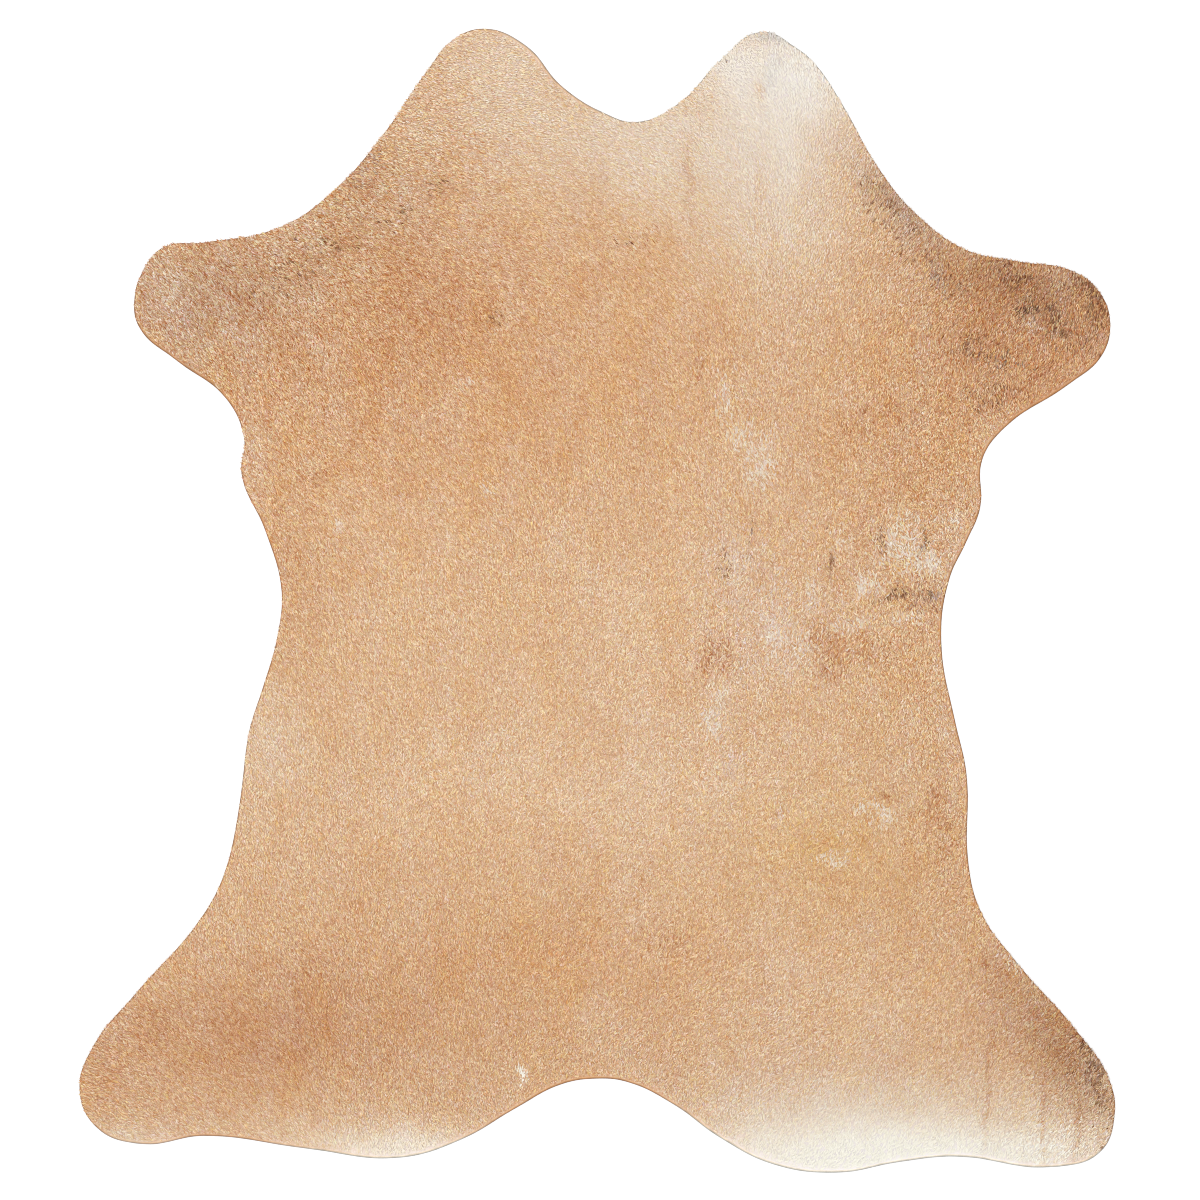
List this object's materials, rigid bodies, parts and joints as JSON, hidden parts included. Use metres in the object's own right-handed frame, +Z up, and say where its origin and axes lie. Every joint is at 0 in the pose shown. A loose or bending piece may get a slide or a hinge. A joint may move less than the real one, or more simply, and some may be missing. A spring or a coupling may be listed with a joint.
{
  "type": "hair-on calf hide",
  "caption": "Whole light fawn calf leather with its short hair left on, cut to its natural outline and laid flat as a small rug.",
  "frame": {"origin": "middle of the underside of the hide's bounding box, on the floor", "axes": "+Z up out of the hair side; +Y along the back, towards the two end lobes and the hair tips; +X to the right, seen from above"},
  "size_m": [0.907, 1, 0.0034],
  "materials": {
    "hair": "short fawn calf hair lying flat on soft tanned leather, cream at two lobes and along the lower edge"
  },
  "bodies": {
    "root": {"calf_hide": "hair"}
  },
  "joints": []
}
